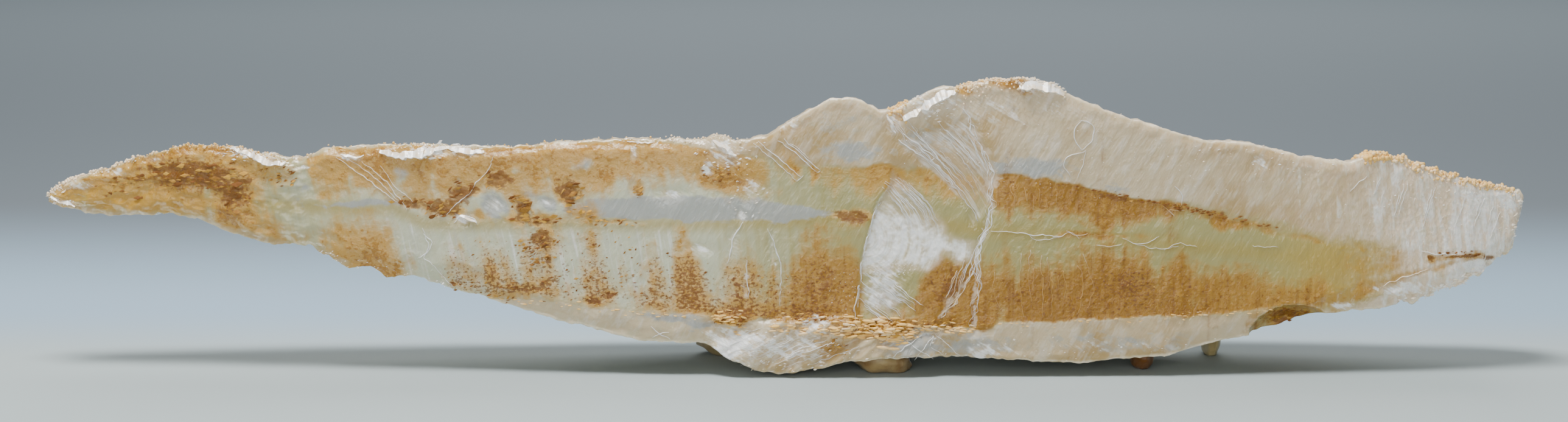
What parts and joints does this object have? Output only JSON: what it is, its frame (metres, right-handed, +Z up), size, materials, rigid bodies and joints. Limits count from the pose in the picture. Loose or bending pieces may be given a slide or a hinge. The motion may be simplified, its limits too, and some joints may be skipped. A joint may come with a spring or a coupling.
{
  "type": "selenite crystal blade",
  "caption": "Long bladed gypsum crystal with a pointed end and a snapped end, milky outside with ochre bands sealed in it, standing on small knobs of its long edge.",
  "frame": {"origin": "on the ground under the middle of the bounding box, with the blade standing on the knobs of its long lower edge", "axes": "+X along the blade towards the snapped butt end, -Y out of the flat cleavage face, +Z up"},
  "size_m": [0.381, 0.0447, 0.0767],
  "materials": {
    "selenite": "smooth cleavage face, milky and partly see-through"
  },
  "bodies": {
    "root": {"selenite_blade": "selenite"}
  },
  "joints": []
}
